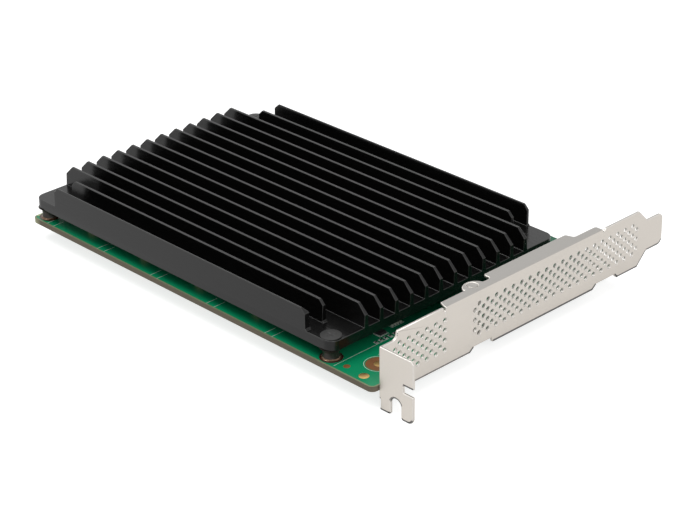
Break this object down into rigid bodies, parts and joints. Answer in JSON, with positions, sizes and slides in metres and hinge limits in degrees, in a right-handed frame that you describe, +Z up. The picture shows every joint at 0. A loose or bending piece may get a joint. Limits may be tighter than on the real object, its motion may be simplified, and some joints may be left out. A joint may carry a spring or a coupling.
{
  "type": "drive module adapter card",
  "caption": "Full-height expansion card that carries drive modules in a row under one black finned heatsink, with a perforated metal slot bracket at its end.",
  "frame": {"origin": "middle of the whole card's outline seen from above, at the height of the bracket's lowest edge", "axes": "+X along the card towards the bracket, +Y towards the edge connector, +Z up from the component side of the board"},
  "size_m": [0.1624, 0.1222, 0.0217],
  "materials": {
    "board": "green solder mask on glass fibre board",
    "gold": "gold plated",
    "bracket_steel": "nickel plated, fine grain",
    "screw_steel": "zinc plated",
    "black_screw": "black oxide",
    "heatsink_black": "black anodised, fine grain",
    "standoff_brass": "nickel plated brass",
    "socket_plastic": "black moulded",
    "pad_rubber": "soft, matte",
    "chip_plastic": "black moulded",
    "inductor_grey": "pressed iron powder",
    "capacitor_plastic": "moulded",
    "small_ceramic": "fired",
    "led_clear": "pale, translucent"
  },
  "bodies": {
    "root": {"bracket": "bracket_steel", "bracket_nut": "screw_steel", "bracket_pillar": "bracket_steel", "bracket_screws": "screw_steel", "circuit_board": "board", "clock_chip": "chip_plastic", "coupling_capacitors": "small_ceramic", "edge_contacts": "gold", "heatsink": "heatsink_black", "heatsink_lower_screws": "black_screw", "heatsink_standoffs": "standoff_brass", "heatsink_top_screws": "black_screw", "indicator_chip": "chip_plastic", "inductor_1": "inductor_grey", "inductor_2": "inductor_grey", "module_posts": "standoff_brass", "module_socket_1": "socket_plastic", "module_socket_2": "socket_plastic", "module_socket_3": "socket_plastic", "module_socket_4": "socket_plastic", "polymer_capacitor_1": "capacitor_plastic", "polymer_capacitor_2": "capacitor_plastic", "regulator_1": "chip_plastic", "regulator_2": "chip_plastic", "resistors": "chip_plastic", "status_leds": "led_clear", "thermal_pad_1": "pad_rubber", "thermal_pad_2": "pad_rubber", "thermal_pad_3": "pad_rubber", "thermal_pad_4": "pad_rubber"}
  },
  "joints": []
}
